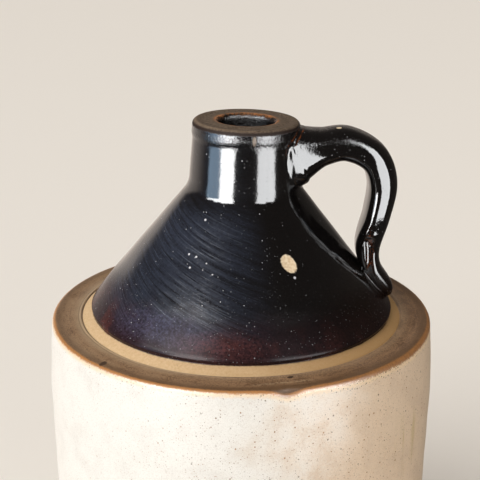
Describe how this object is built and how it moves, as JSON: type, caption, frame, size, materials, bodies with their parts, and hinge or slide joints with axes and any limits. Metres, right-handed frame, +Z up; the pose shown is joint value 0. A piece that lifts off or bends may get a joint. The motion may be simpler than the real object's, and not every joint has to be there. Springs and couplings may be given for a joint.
{
  "type": "stoneware jug",
  "caption": "Stoneware shoulder jug with a straight cream body, a flat ledge, a dark cone, a short neck that takes a cork, and a strap handle for carrying and pouring.",
  "frame": {"origin": "centre of the flat base, on the surface that the jug stands on", "axes": "+Z up through the mouth, +X towards the handle"},
  "size_m": [0.1814, 0.1814, 0.268],
  "materials": {
    "stoneware": "gloss"
  },
  "bodies": {
    "root": {"jug": "stoneware"}
  },
  "joints": []
}
